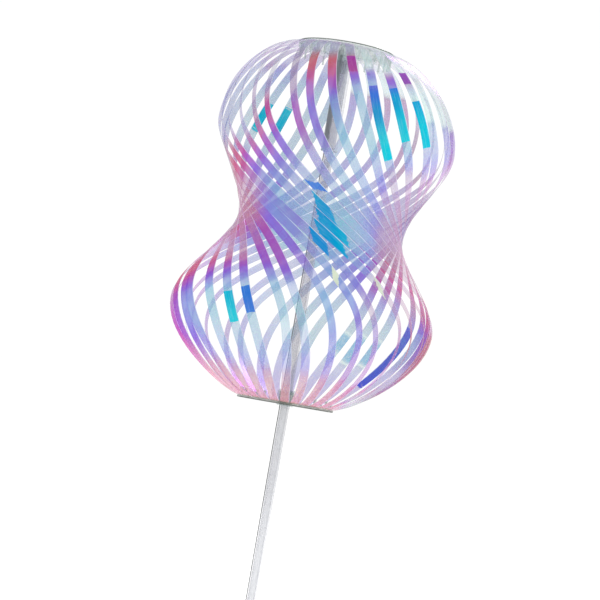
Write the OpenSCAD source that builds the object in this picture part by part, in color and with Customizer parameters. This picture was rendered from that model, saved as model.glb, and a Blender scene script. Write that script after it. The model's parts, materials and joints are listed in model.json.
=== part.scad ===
// Ribbon pinwheel: thin film ribbons run between two round clamps on a clear stick.
// The upper clamp and its sleeve spin on the stick's tip. The lower clamp slides and
// turns on the stick, which swells the ribbons into two bellies with a twisted waist.
// Millimetres, +Z up. Z = 0 is where the straight part of the foot cap begins.

/* [Stick] */
// Outer diameter of the stick
stick_d = 6; // [5:0.5:7]
// Bore of the stick
stick_bore = 4; // [3:0.5:4]
// Height of the lower clamp above the foot
cage_base = 190; // [120:5:260]
// Diameter of the foot cap
foot_d = 7.6; // [7.4:0.1:10]
// Length of the foot cap's straight part
foot_h = 12; // [8:1:20]

/* [Clamps] */
// Diameter of the round clamps
clamp_d = 55; // [50:1:65]
// Thickness of each clamp plate
plate_t = 1.2; // [0.8:0.1:2]
// Outer diameter of the sleeve under the upper clamp
sleeve_d = 8.8; // [8.6:0.2:10]
// Length of the sleeve
sleeve_h = 58; // [30:1:75]
// Outer diameter of the lower clamp's hub
hub_d = 10.6; // [10.6:0.2:14]
// Height of the lower clamp's hub above the ribbons
hub_h = 6; // [4:0.5:10]
// Length of the pegs on the upper clamp
upper_peg_h = 5; // [2:0.5:8]
// Length of the pegs on the lower clamp
lower_peg_h = 3; // [1:0.5:5]

/* [Ribbons] */
// Number of ribbons
ribbons = 32; // [24:1:32]
// Width of a ribbon
ribbon_w = 5; // [3.5:0.1:5]
// Thickness of a ribbon
ribbon_t = 0.2; // [0.1:0.05:0.25]
// Distance between the two clamps
cage_h = 202; // [180:2:220]
// Radius of the lower belly
lower_belly_r = 73.5; // [60:0.5:85]
// Radius of the upper belly
upper_belly_r = 66.5; // [60:0.5:85]
// Radius of the waist
waist_r = 47; // [42:1:55]
// Height of the waist, as a share of the cage
waist_share = 0.505; // [0.45:0.005:0.55]
// Twist of the ribbons from clamp to clamp, in degrees
cage_twist = 133; // [0:1:150]
// Stretch of the waist that takes most of the twist
twist_span = 25; // [20:1:40]
// Sideways lean of the film cage
cage_lean = 3; // [0:0.5:4]
// Angle by which the ribbons shingle over each other at the waist
shingle = 8; // [0:1:10]
// Angle by which the ribbons bank in the bellies: one way below the waist, the other above
bank = 22; // [0:1:30]
// Unevenness of the ribbons' spacing in the bellies, in degrees
sway = 2.2; // [0:0.2:3]
// Unevenness of how far the ribbons stand out, as a share of the radius
swell = 0.012; // [0:0.002:0.02]

/* [Hidden] */
run_gap = 0.08;     // radial clearance of a part that turns or slides
slot_t = 0.3;       // height of the slot that holds the ribbon ends
tab_in = 20;        // radius where the ribbon ends begin
seat_r = 19;        // radius of the raised seat where the two plates meet
rim_cut = 0.3;      // chamfer on the plates' rims
peg_d = 1.1;
peg_in = 1.6;       // from the clamp's rim to the pegs' axes
lip_h = 0.8;        // flanges of the bush, and the lip at the sleeve's mouth
lip_w = 0.7;
bush_wall = 0.9;
foot_dome = 1.2;
cap_base = 2;       // solid bottom of the foot cap
cap_bevel = [0.4, 0.8];   // width and height of the foot cap's upper bevel
tip_h = 6;          // length of the plug in the stick's tip
tip_room = 1.5;     // from the stick's top up to the upper clamp's spigot
tip_flange_h = 0.5;
tip_inset = 0.3;    // from the stick's outside to the plug's flange
nose_r = 2.4;       // ball of the plug's nose
nose_sink = 1;      // depth of the ball's centre below the stick's top
spigot_h = 5;
grip_wall = 1.8;    // wall of the upper clamp's hub, which grips the sleeve
over_cut = 1;       // how far a cut runs past the solid
rings = 38;         // steps along a ribbon
tab_rings = 2;      // steps along a ribbon's clamped end
lap_span = 30;      // stretch about the waist where the ribbons shingle

top_z = cage_base + cage_h;
slot_half = slot_t / 2;
stick_r = stick_d / 2;
bore_r = stick_r + run_gap;
bush_r = bore_r + bush_wall;
hub_bore_r = bush_r + run_gap;
clamp_r = clamp_d / 2;
stick_top = top_z - slot_half - spigot_h - tip_room;
pitch = 360 / ribbons;
tab_gap = 0.4;      // between neighbouring ribbon ends

waist_z = cage_h * waist_share;
lower_z = waist_z / 2;
upper_z = (cage_h + waist_z) / 2;
twist_scale = cage_twist / (atan(waist_z / twist_span) + atan((cage_h - waist_z) / twist_span));

function two(i) = i < 10 ? str("0", i) : str(i);
RIBBONS = [for (i = [1:ribbons]) str("ribbon_", two(i))];
$fn = 96;

// ---- the cage's shape: radius, turn and lean at a height z above the lower clamp ----

function ease(t) = (1 - cos(180 * t)) / 2;
function even_r(z) =
    z < lower_z ? clamp_r + (lower_belly_r - clamp_r) * pow(sin(90 * z / lower_z), 0.75)
    : z < waist_z ? waist_r + (lower_belly_r - waist_r) * (1 - ease((z - lower_z) / (waist_z - lower_z)))
    : z < upper_z ? waist_r + (upper_belly_r - waist_r) * ease((z - waist_z) / (upper_z - waist_z))
    : clamp_r + (upper_belly_r - clamp_r) * pow(sin(90 * max(cage_h - z, 0) / (cage_h - upper_z)), 0.51);
// How far a height is into a belly: 0 at the clamps and the waist, 1 half-way between.
function belly(z) =
    pow(z < waist_z ? sin(180 * z / waist_z) : sin(180 * (z - waist_z) / (cage_h - waist_z)), 2);
function cage_r(z, i) = even_r(z) * (1 + swell * sin(99 * i) * belly(z));
function cage_turn(z, i) =
    twist_scale * atan((waist_z - z) / twist_span)
    + sway * sin((z < waist_z ? 137.5 : 222.5) * i) * belly(z);
function cage_shift(z) = cage_lean * sin(180 * pow(z / cage_h, 1.6));

// ---- one ribbon: its centre line, then a thin four-cornered section at each step ----

// Step k runs from 0 to rings along the free film; the clamped ends lie before and after it.
function along(k) = min(max(k, 0), rings);
function past(k) = max(-k, k - rings, 0) / tab_rings;
function height(k) = cage_h * ease(along(k) / rings);
function reach(k, i) = cage_r(height(k), i) - past(k) * (clamp_r - tab_in);
function centre(k, i) =
    let (z = height(k), g = (i - 1) * pitch + cage_turn(z, i))
    [reach(k, i) * cos(g) + cage_shift(z), reach(k, i) * sin(g), z];
function unit(v) = v / norm(v);
function across(v, t) = unit(v - t * (v * t));
// The point on the cage's middle line that the film faces away from.
function heart(z) = [cage_shift(z), 0, min(max(z, lower_z), upper_z)];
function lap(z) =
    shingle * exp(-pow((z - waist_z) / lap_span, 2))
    + bank * (z < waist_z ? sin(180 * z / waist_z) : -sin(180 * (z - waist_z) / (cage_h - waist_z)));
function tangent(k, i) = unit(centre(k + 0.5, i) - centre(k - 0.5, i));
function facing(k, i) =
    let (t = tangent(k, i), p = centre(k, i), n = across(p - heart(p[2]), t), w = lap(p[2]))
    n * cos(w) + cross(t, n) * sin(w);
function film_w(k, i) = min(ribbon_w, 2 * PI * reach(k, i) / ribbons - tab_gap);
function section(k, i) =
    let (p = centre(k, i), n = facing(k, i), s = cross(tangent(k, i), n) * film_w(k, i) / 2,
         h = n * ribbon_t / 2)
    [p - s - h, p + s - h, p + s + h, p - s + h];
// Two triangles on side c of a step. Both broad sides are cut the same way, so that the
// film keeps its thickness where it twists.
function patch(p, q, c) =
    c == 2 ? [[p, q, p + 4], [q, q + 4, p + 4]] : [[p, q, q + 4], [p, q + 4, p + 4]];

module ribbon(number) {
    steps = [for (k = [-tab_rings:rings + tab_rings]) k];
    points = [for (k = steps) each section(k, number)];
    last = 4 * (len(steps) - 1);
    sides = [for (s = [0:len(steps) - 2], c = [0:3])
        each patch(4 * s + c, 4 * s + (c + 1) % 4, c)];
    ends = [[0, 2, 1], [0, 3, 2], [last, last + 1, last + 2], [last, last + 2, last + 3]];
    color([0.62, 0.62, 0.92, 0.6])
        translate([0, 0, cage_base])
            polyhedron(points, concat(sides, ends), convexity = 6);
}

// ---- round parts ----

module ring(outer, inner, h) {
    difference() {
        cylinder(r = outer, h = h);
        translate([0, 0, -over_cut])
            cylinder(r = inner, h = h + 2 * over_cut);
    }
}

// A round plate from z = 0 to its thickness, with both rim edges broken.
module disc() {
    rotate_extrude()
        polygon([[0, 0], [clamp_r - rim_cut, 0], [clamp_r, rim_cut],
                 [clamp_r, plate_t - rim_cut], [clamp_r - rim_cut, plate_t], [0, plate_t]]);
}

// The inner plate of a clamp, above the ribbon ends: its seat meets the outer plate.
module clamp_plate(bore, boss_r, boss_h) {
    difference() {
        union() {
            translate([0, 0, slot_half])
                disc();
            translate([0, 0, -slot_half])
                cylinder(r = seat_r, h = slot_t);
            cylinder(r = boss_r, h = boss_h);
        }
        translate([0, 0, -over_cut])
            cylinder(r = bore, h = boss_h + 2 * over_cut);
    }
}

// A crown of pegs on a clamp's inner plate, one at each gap between the ribbons.
module pegs(h) {
    for (i = [0:ribbons - 1])
        rotate([0, 0, (i + 0.5) * pitch])
            translate([clamp_r - peg_in, 0, slot_half + plate_t])
                cylinder(d = peg_d, h = h, $fn = 16);
}

module stick_tube() {
    color([0.80, 0.82, 0.83])
        translate([0, 0, cap_base - foot_dome])
            ring(stick_r, stick_bore / 2, stick_top - cap_base + foot_dome);
}

module foot_cap() {
    r = foot_d / 2;
    color([0.72, 0.76, 0.76])
        rotate_extrude()
            difference() {
                union() {
                    square([r, foot_h]);
                    translate([0, -foot_dome])
                        square([r - foot_dome, foot_dome]);
                    intersection() {
                        translate([r - foot_dome, 0])
                            circle(r = foot_dome, $fn = 48);
                        translate([0, -foot_dome])
                            square([r, foot_dome]);
                    }
                    polygon([[0, foot_h], [r, foot_h], [r - cap_bevel[0], foot_h + cap_bevel[1]],
                             [0, foot_h + cap_bevel[1]]]);
                }
                translate([0, cap_base - foot_dome])
                    square([stick_r, foot_h + foot_dome + over_cut]);
            }
}

// Plug in the stick's upper end, with a round nose that carries the upper clamp.
module tip_plug() {
    color([0.72, 0.76, 0.76])
        translate([0, 0, stick_top]) {
            translate([0, 0, -tip_h])
                cylinder(d = stick_bore, h = tip_h);
            cylinder(r = stick_r - tip_inset, h = tip_flange_h);
            intersection() {
                translate([0, 0, -nose_sink])
                    sphere(r = nose_r);
                cylinder(r = stick_r, h = nose_r);
            }
        }
}

module top_cover_disc() {
    color([0.85, 0.90, 0.88])
        translate([0, 0, top_z]) {
            translate([0, 0, slot_half])
                disc();
            translate([0, 0, -spigot_h])
                cylinder(r = bore_r, h = spigot_h + slot_half + plate_t / 2);
        }
}

module top_clamp_plate() {
    color([0.80, 0.88, 0.84])
        translate([0, 0, top_z])
            mirror([0, 0, 1])
                clamp_plate(sleeve_d / 2, sleeve_d / 2 + grip_wall, hub_h);
}

module upper_pegs() {
    color([0.78, 0.86, 0.82])
        translate([0, 0, top_z])
            mirror([0, 0, 1])
                pegs(upper_peg_h);
}

module sleeve_tube() {
    color([0.70, 0.74, 0.72])
        translate([0, 0, top_z + slot_half - sleeve_h]) {
            ring(sleeve_d / 2, bore_r, sleeve_h);
            ring(sleeve_d / 2 + lip_w / 2, bore_r, lip_h);
        }
}

// The lower clamp turns on this flanged bush, and the bush slides on the stick.
module collar_bush() {
    under = slot_half + plate_t + run_gap + lip_h;
    over = hub_h + run_gap + lip_h;
    color([0.66, 0.74, 0.72])
        translate([0, 0, cage_base]) {
            translate([0, 0, -under])
                ring(bush_r, bore_r, under + over);
            translate([0, 0, -under])
                ring(bush_r + lip_w, bore_r, lip_h);
            translate([0, 0, over - lip_h])
                ring(bush_r + lip_w, bore_r, lip_h);
        }
}

module lower_clamp_plate() {
    color([0.68, 0.78, 0.75])
        translate([0, 0, cage_base])
            clamp_plate(hub_bore_r, hub_d / 2, hub_h);
}

module lower_pegs() {
    color([0.66, 0.76, 0.72])
        translate([0, 0, cage_base])
            pegs(lower_peg_h);
}

module lower_cover_disc() {
    color([0.68, 0.72, 0.68])
        translate([0, 0, cage_base - slot_half - plate_t])
            difference() {
                disc();
                translate([0, 0, -over_cut])
                    cylinder(r = hub_bore_r, h = plate_t + 2 * over_cut);
            }
}

stick_tube();
foot_cap();
tip_plug();
top_cover_disc();
top_clamp_plate();
upper_pegs();
sleeve_tube();
for (i = [1:ribbons]) ribbon(i);
collar_bush();
lower_clamp_plate();
lower_pegs();
lower_cover_disc();
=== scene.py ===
"""Ribbon pinwheel: a cage of iridescent film ribbons that spins on a clear stick.

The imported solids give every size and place. This file replaces the ribbons with finely
shaped film, adds the small moulded and welded details, and dresses every part.
"""

import json
import logging
import math
from dataclasses import dataclass, field
from enum import Enum

import bpy
import numpy as np
from mathutils import Matrix, Vector


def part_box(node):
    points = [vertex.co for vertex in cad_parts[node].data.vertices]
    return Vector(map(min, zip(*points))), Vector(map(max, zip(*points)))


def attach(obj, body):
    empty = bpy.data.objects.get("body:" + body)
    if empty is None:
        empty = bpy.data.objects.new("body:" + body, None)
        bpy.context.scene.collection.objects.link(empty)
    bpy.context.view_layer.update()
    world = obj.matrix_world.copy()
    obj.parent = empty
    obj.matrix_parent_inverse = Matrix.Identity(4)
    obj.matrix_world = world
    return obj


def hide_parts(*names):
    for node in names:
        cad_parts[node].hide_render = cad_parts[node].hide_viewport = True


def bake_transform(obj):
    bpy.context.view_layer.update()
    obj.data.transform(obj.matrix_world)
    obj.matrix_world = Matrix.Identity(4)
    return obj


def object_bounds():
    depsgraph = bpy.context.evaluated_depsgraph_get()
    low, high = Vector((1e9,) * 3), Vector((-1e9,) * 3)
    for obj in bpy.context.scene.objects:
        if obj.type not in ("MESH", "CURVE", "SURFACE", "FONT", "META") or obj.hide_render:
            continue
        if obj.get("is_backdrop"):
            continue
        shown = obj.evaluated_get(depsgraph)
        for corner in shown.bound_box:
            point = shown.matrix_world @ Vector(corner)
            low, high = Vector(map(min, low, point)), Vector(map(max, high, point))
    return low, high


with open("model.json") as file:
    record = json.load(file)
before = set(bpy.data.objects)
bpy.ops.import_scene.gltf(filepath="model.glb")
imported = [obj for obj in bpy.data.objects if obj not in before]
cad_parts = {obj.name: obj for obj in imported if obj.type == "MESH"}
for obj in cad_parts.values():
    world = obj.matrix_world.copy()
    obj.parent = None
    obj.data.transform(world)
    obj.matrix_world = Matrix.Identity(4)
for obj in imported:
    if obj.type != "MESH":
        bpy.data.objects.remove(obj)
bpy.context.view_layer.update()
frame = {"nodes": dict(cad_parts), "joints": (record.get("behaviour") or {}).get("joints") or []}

log = logging.getLogger("pinwheel")
logging.basicConfig(level=logging.INFO, format="%(name)s: %(message)s")

Colour = tuple[float, float, float]
Stops = tuple[tuple[float, Colour, float], ...]
Socket = bpy.types.NodeSocket
Node = bpy.types.Node
Tree = bpy.types.NodeTree
Inputs = dict[int | str, object]
Material = bpy.types.Material
Piece = bpy.types.Object
MM = 0.001
FRONT = np.array((0.0, -1.0, 0.0))
TINY = 1e-12


def linear(red: int, green: int, blue: int) -> Colour:
    """Turns a display colour, from 0 to 255, into the linear light that shaders work in."""
    steps = [channel / 255 for channel in (red, green, blue)]
    return tuple(s / 12.92 if s <= 0.04045 else ((s + 0.055) / 1.055) ** 2.4 for s in steps)


def joint(name: str) -> dict:
    """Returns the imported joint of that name."""
    return next(j for j in frame["joints"] if j["name"] == name)


def unit(vectors: np.ndarray) -> np.ndarray:
    """Scales each row to length one."""
    return vectors / np.maximum(np.linalg.norm(vectors, axis=-1, keepdims=True), TINY)


def smooth(values: np.ndarray, low: float, high: float) -> np.ndarray:
    """Rises smoothly from 0 at low to 1 at high; with high below low, it falls."""
    t = np.clip((values - low) / (high - low), 0, 1)
    return t * t * (3 - 2 * t)


# ---- node sheets


@dataclass
class Sheet:
    """A shader node tree with short calls to add and join its nodes."""

    tree: Tree

    def node(self, kind: str, fed: Inputs | None = None, **settings: object) -> Node:
        """Adds a node, sets its named properties and feeds its inputs.

        Args:
            kind: The node's type name.
            fed: What each input gets, by the input's name or number.
            settings: Property names and their values.

        Returns:
            The new node.
        """
        made = self.tree.nodes.new(kind)
        for name, value in settings.items():
            setattr(made, name, value)
        self.wire(made, fed or {})
        return made

    def wire(self, node: Node, fed: Inputs) -> None:
        """Feeds a node's inputs, by their names or numbers."""
        for key, source in fed.items():
            self.feed(node.inputs[key], source)

    def feed(self, target: Socket, source: object) -> None:
        """Joins a socket to another, or sets it to a value.

        Args:
            target: The input socket.
            source: An output socket, a number or a colour.
        """
        if isinstance(source, Socket):
            self.tree.links.new(source, target)
        elif isinstance(source, tuple) and target.type == "RGBA":
            target.default_value = (*source, 1.0)
        else:
            target.default_value = source

    def maths(self, how: str, first: object, second: object = 0.0, clamp: bool = False) -> Socket:
        """Adds a sum of two values.

        Args:
            how: The operation's name, such as "MULTIPLY".
            first: The first value or socket.
            second: The second value or socket.
            clamp: Whether the result stays from 0 to 1.

        Returns:
            The result's socket.
        """
        fed = {0: first, 1: second}
        return self.node("ShaderNodeMath", fed, operation=how, use_clamp=clamp).outputs[0]

    def times(self, first: object, second: object) -> Socket:
        """Multiplies two values."""
        return self.maths("MULTIPLY", first, second)

    def plus(self, first: object, second: object, clamp: bool = False) -> Socket:
        """Adds two values."""
        return self.maths("ADD", first, second, clamp)

    def swing(self, value: Socket, strength: float) -> Socket:
        """Turns a value around a half into one around zero, of that strength."""
        return self.times(self.maths("SUBTRACT", value, 0.5), strength)

    def spread(
        self, value: object, low: object, high: object, to_low: float = 0.0, to_high: float = 1.0
    ) -> Socket:
        """Maps a value smoothly from one range to another.

        Args:
            value: The value or socket to map.
            low: Start of the range it comes in.
            high: End of the range it comes in.
            to_low: What the start becomes.
            to_high: What the end becomes.

        Returns:
            The mapped value's socket.
        """
        fed = dict(enumerate((value, low, high, to_low, to_high)))
        return self.node("ShaderNodeMapRange", fed, interpolation_type="SMOOTHSTEP").outputs[0]

    def mix(self, share: object, under: object, over: object, numbers: bool = False) -> Socket:
        """Lays one colour over another, or one number.

        Args:
            share: How much of the upper one shows, from 0 to 1.
            under: The lower one.
            over: The upper one.
            numbers: Whether they are numbers.

        Returns:
            The mixed socket.
        """
        first, result = (2, 0) if numbers else (6, 2)
        kind = "FLOAT" if numbers else "RGBA"
        made = self.node("ShaderNodeMix", data_type=kind)
        self.wire(made, {0: share, first: under, first + 1: over})
        return made.outputs[result]

    def noise(
        self, place: object, scale: float, detail: float = 2.0, rough: float = 0.5
    ) -> Socket:
        """Adds cloudy noise.

        Args:
            place: The socket of the points it is read at.
            scale: Clouds in a metre.
            detail: How many finer layers it has.
            rough: Strength of the finer layers.

        Returns:
            The socket of a value around a half.
        """
        fed = {"Vector": place, "Scale": scale, "Detail": detail, "Roughness": rough}
        return self.node("ShaderNodeTexNoise", fed).outputs[0]

    def ramp(self, value: object, stops: Stops) -> tuple[Socket, Socket]:
        """Turns a value into a colour and a density.

        Args:
            value: The value's socket.
            stops: Places from 0 to 1, each with its colour and how much it hides.

        Returns:
            The sockets of the colour and of the density.
        """
        made = self.node("ShaderNodeValToRGB")
        made.color_ramp.interpolation = "EASE"
        keys = made.color_ramp.elements
        while len(keys) < len(stops):
            keys.new(0.5)
        for key, (place, colour, density) in zip(keys, stops):
            key.position = place
            key.color = (*colour, density)
        self.feed(made.inputs[0], value)
        return made.outputs[0], made.outputs[1]


@dataclass(frozen=True)
class Port:
    """A named socket on the outside of a node group."""

    name: str
    kind: str = "NodeSocketFloat"
    value: object = 0.0


COLOUR = "NodeSocketColor"
EFFECT = (Port("Colour", COLOUR), Port("Alpha"), Port("Roughness"), Port("Height"))


def open_group(name: str, ports: tuple[Port, ...]) -> tuple[Sheet, object, Node]:
    """Starts a shader node group with named inputs, and the outputs that every effect gives.

    Args:
        name: The group's name.
        ports: Its inputs.

    Returns:
        The sheet to draw on, what the group takes, and the node that it gives its results to.
    """
    tree = bpy.data.node_groups.new(name, "ShaderNodeTree")
    for port in ports:
        made = tree.interface.new_socket(port.name, in_out="INPUT", socket_type=port.kind)
        plain = not isinstance(port.value, tuple)
        made.default_value = port.value if plain else (*port.value, 1.0)
    for port in EFFECT:
        tree.interface.new_socket(port.name, in_out="OUTPUT", socket_type=port.kind)
    sheet = Sheet(tree)
    return sheet, sheet.node("NodeGroupInput").outputs, sheet.node("NodeGroupOutput")


def open_material(name: str) -> tuple[Material, Sheet, Node]:
    """Starts a material.

    Args:
        name: The material's name.

    Returns:
        The material, its sheet and its shader.
    """
    made = bpy.data.materials.new(name)
    made.use_nodes = True
    return made, Sheet(made.node_tree), made.node_tree.nodes["Principled BSDF"]


# ---- effects

BUMP_DEPTH = 0.05 * MM

# Interference colours of the film and how much each hides, from edge-on to square on.
FILM_STOPS: Stops = (
    (0.00, linear(150, 166, 156), 0.34),
    (0.12, linear(168, 142, 112), 0.48),
    (0.22, linear(184, 104, 72), 0.68),
    (0.34, linear(204, 82, 88), 0.74),
    (0.46, linear(196, 62, 134), 0.74),
    (0.56, linear(172, 56, 178), 0.74),
    (0.66, linear(142, 66, 204), 0.72),
    (0.74, linear(138, 118, 208), 0.66),
    (0.82, linear(140, 150, 212), 0.54),
    (0.90, linear(130, 170, 210), 0.48),
    (1.00, linear(144, 176, 212), 0.42),
)
# The bright flashes: cyan, deep cyan, blue, violet, magenta and cream.
FLASH_STOPS: Stops = (
    (0.0, linear(0, 180, 214), 0.93),
    (0.2, linear(0, 132, 204), 0.93),
    (0.4, linear(52, 88, 214), 0.90),
    (0.6, linear(108, 76, 206), 0.86),
    (0.8, linear(170, 24, 140), 0.90),
    (1.0, linear(222, 224, 198), 0.70),
)
# Where the film looks pale: sky blue, mint, ice blue, lavender, pink-grey and rose.
PALE_STOPS: Stops = (
    (0.0, linear(74, 168, 222), 0.66),
    (0.2, linear(190, 221, 209), 0.26),
    (0.4, linear(128, 146, 186), 0.42),
    (0.6, linear(152, 146, 206), 0.42),
    (0.8, linear(188, 152, 170), 0.42),
    (1.0, linear(214, 158, 142), 0.54),
)
# Pale colour of the painted highlight along the film's edges, also laid on some streaks of the
# flashes.
PAINTED_HIGHLIGHT = linear(232, 224, 238)
SHEEN_LINE = linear(240, 232, 214)


@dataclass(frozen=True)
class Pattern:
    """A noise pattern laid on a ribbon.

    Attributes:
        along: Pace of its points along the ribbon; below 1, its marks are drawn out.
        across: The same across the ribbon.
        scale: Clouds in a metre.
        detail: How many finer layers it has.
        rough: Strength of the finer layers.
    """

    along: float
    across: float
    scale: float
    detail: float = 2.0
    rough: float = 0.5


BARS = Pattern(1.0, 0.12, 900.0, 2.0, 0.6)
STREAKS = Pattern(0.05, 1.0, 1800.0, 3.0, 0.6)
CLOUDS = Pattern(1.0, 1.0, 70.0)
WANDER = Pattern(0.6, 1.0, 620.0, 2.0, 0.55)
# How far each pattern moves the tone, the flashes' ends and the density.
TONE_STREAKS, TONE_CLOUDS, FLASH_BARS, ALPHA_STREAKS = 0.13, 0.16, 2.2, 0.18
# Smooth steps: where each starts and ends, and what its start and end become.
SHEEN_STEP = (0.004, 0.022, 0.6, 0.0)
FLASH_STEP = (0.0, 0.12)
GLOW_STEP = (0.45, 0.80, 0.0, 0.16)
EDGE_STEP = (0.925, 0.965, 0.0, 0.75)
GLOSS_STEP = (0.3, 0.7, 0.16, 0.30)
# How much denser the painted highlight makes the film at its edges.
EDGE_ALPHA = 0.15


def film_group() -> Tree:
    """Draws the film's colour, clearness and fine lines, with a painted highlight along its edges.

    Returns:
        The shared node group.
    """
    sheet, takes, gives = open_group(
        "Iridescent film",
        (
            Port("Tone"), Port("Flash"), Port("Flash hue"), Port("Pale"), Port("Pale hue"),
            Port("Clear"), Port("Across"), Port("Along"), Port("Seed"), Port("Wide", value=0.005),
        ),
    )

    def lay(pattern: Pattern) -> Socket:
        """Lays a pattern on the strip.

        Args:
            pattern: The pattern.

        Returns:
            The socket of a value around a half.
        """
        along = sheet.times(takes["Along"], pattern.along)
        side = sheet.times(sheet.times(takes["Across"], takes["Wide"]), pattern.across)
        place = sheet.node("ShaderNodeCombineXYZ", {0: along, 1: side, 2: takes["Seed"]})
        return sheet.noise(place.outputs[0], pattern.scale, pattern.detail, pattern.rough)

    bars, streaks, clouds, wander = lay(BARS), lay(STREAKS), lay(CLOUDS), lay(WANDER)
    shift = sheet.plus(sheet.swing(streaks, TONE_STREAKS), sheet.swing(clouds, TONE_CLOUDS))
    colour, density = sheet.ramp(sheet.plus(takes["Tone"], shift, clamp=True), FILM_STOPS)
    pale, pale_density = sheet.ramp(takes["Pale hue"], PALE_STOPS)
    colour = sheet.mix(takes["Pale"], colour, pale)
    density = sheet.mix(takes["Pale"], density, pale_density, numbers=True)
    density = sheet.times(density, sheet.maths("SUBTRACT", 1.0, takes["Clear"]))

    off_line = sheet.maths("ABSOLUTE", sheet.maths("SUBTRACT", wander, 0.5))
    sheen = sheet.times(sheet.spread(off_line, *SHEEN_STEP), takes["Pale"])
    colour = sheet.mix(sheen, colour, SHEEN_LINE)

    frayed = sheet.plus(takes["Flash"], sheet.swing(bars, FLASH_BARS))
    flash = sheet.spread(frayed, *FLASH_STEP)
    glow, glow_density = sheet.ramp(takes["Flash hue"], FLASH_STOPS)
    # Some streaks of each flash take the pale colour of the painted highlight.
    glow = sheet.mix(sheet.spread(streaks, *GLOW_STEP), glow, PAINTED_HIGHLIGHT)
    colour = sheet.mix(flash, colour, glow)
    density = sheet.mix(flash, density, glow_density, numbers=True)

    # Painted highlight along both edges of the film: paler and denser there.
    edge = sheet.spread(takes["Across"], *EDGE_STEP)
    alpha = sheet.plus(density, sheet.swing(streaks, ALPHA_STREAKS))
    sheet.wire(gives, {
        "Colour": sheet.mix(edge, colour, PAINTED_HIGHLIGHT),
        "Alpha": sheet.plus(alpha, sheet.times(edge, EDGE_ALPHA), clamp=True),
        "Roughness": sheet.spread(clouds, *GLOSS_STEP),
        "Height": sheet.plus(bars, streaks),
    })
    return sheet.tree


# Flow marks of drawn plastic, which run along the stick, and the smooth steps they pass.
FLOW_STRETCH = (1.0, 1.0, 0.12)
FLOW_SCALE, FINE_SCALE = 420.0, 2600.0
SCUFF_STEP = (0.56, 0.70)
HAZE_STEP = (0.35, 0.70, 0.0, 0.7)
ALPHA_STEP = (0.3, 0.7, -0.2, 0.2)
# How much the painted shade down the left side covers the plastic's colour, at its start and at
# its darkest.
LEFT_SHADE_COVER = (0.0, 0.85)
# The scuffs' colour, and how much they cover, hide, roughen and raise.
SCUFF: Colour = (0.95, 0.96, 0.97)
SCUFF_COVER, SCUFF_ALPHA, SCUFF_ROUGH, SCUFF_HEIGHT = 0.5, 0.12, 0.5, 0.3


def plastic_group() -> Tree:
    """Draws the haze, flow marks and scuffs of moulded or drawn clear plastic,
    and a painted shade down its left side.

    Returns:
        The shared node group.
    """
    sheet, takes, gives = open_group(
        "Moulded plastic",
        (
            Port("Tint", COLOUR, (0.8, 0.8, 0.8)), Port("Haze", COLOUR, (0.9, 0.9, 0.9)),
            Port("Body alpha", value=0.3), Port("Clouds", value=1.0), Port("Scuffs", value=0.3),
            Port("Gloss", value=0.1), Port("Left shade colour", COLOUR, (0.2, 0.2, 0.2)),
            Port("Left shade from", value=1.0), Port("Left shade full", value=1.1),
        ),
    )
    place = sheet.node("ShaderNodeTexCoord").outputs["Object"]
    stretched = sheet.node("ShaderNodeMapping", {"Vector": place, "Scale": FLOW_STRETCH})
    flow = sheet.noise(stretched.outputs[0], FLOW_SCALE, 3.0)
    fine = sheet.noise(place, FINE_SCALE, 2.0, 0.6)
    marks = sheet.times(sheet.spread(fine, *SCUFF_STEP), takes["Scuffs"])
    clouded = sheet.times(sheet.spread(flow, *HAZE_STEP), takes["Clouds"])
    colour = sheet.mix(clouded, takes["Tint"], takes["Haze"])
    colour = sheet.mix(sheet.times(marks, SCUFF_COVER), colour, SCUFF)
    # Painted shade: the plastic turns darker and denser towards its left side.
    left = sheet.times(sheet.node("ShaderNodeSeparateXYZ", {0: place}).outputs[0], -1.0)
    left_shade = sheet.spread(left, takes["Left shade from"], takes["Left shade full"], *LEFT_SHADE_COVER)
    swing = sheet.times(sheet.spread(flow, *ALPHA_STEP), takes["Clouds"])
    alpha = sheet.times(takes["Body alpha"], sheet.plus(swing, 1.0))
    alpha = sheet.plus(alpha, sheet.times(marks, SCUFF_ALPHA))
    sheet.wire(gives, {
        "Colour": sheet.mix(left_shade, colour, takes["Left shade colour"]),
        "Alpha": sheet.maths("MAXIMUM", alpha, left_shade),
        "Roughness": sheet.plus(takes["Gloss"], sheet.times(marks, SCUFF_ROUGH)),
        "Height": sheet.plus(flow, sheet.times(marks, SCUFF_HEIGHT)),
    })
    return sheet.tree


# ---- finishes


def port_name(name: str) -> str:
    """Turns a channel's or field's name into its socket's, such as Flash hue."""
    return name.replace("_", " ").capitalize()


def surface(sheet: Sheet, group: Node, dents: float) -> Inputs:
    """Takes a shader's colour, roughness and bump from a shared effect.

    Args:
        sheet: The material's sheet.
        group: The effect's node.
        dents: Strength of the bump.

    Returns:
        What the shader's inputs get, by name.
    """
    gives = group.outputs
    fed = {"Strength": dents, "Distance": BUMP_DEPTH, "Height": gives["Height"]}
    bump = sheet.node("ShaderNodeBump", fed).outputs[0]
    return {"Base Color": gives["Colour"], "Roughness": gives["Roughness"], "Normal": bump}


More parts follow.
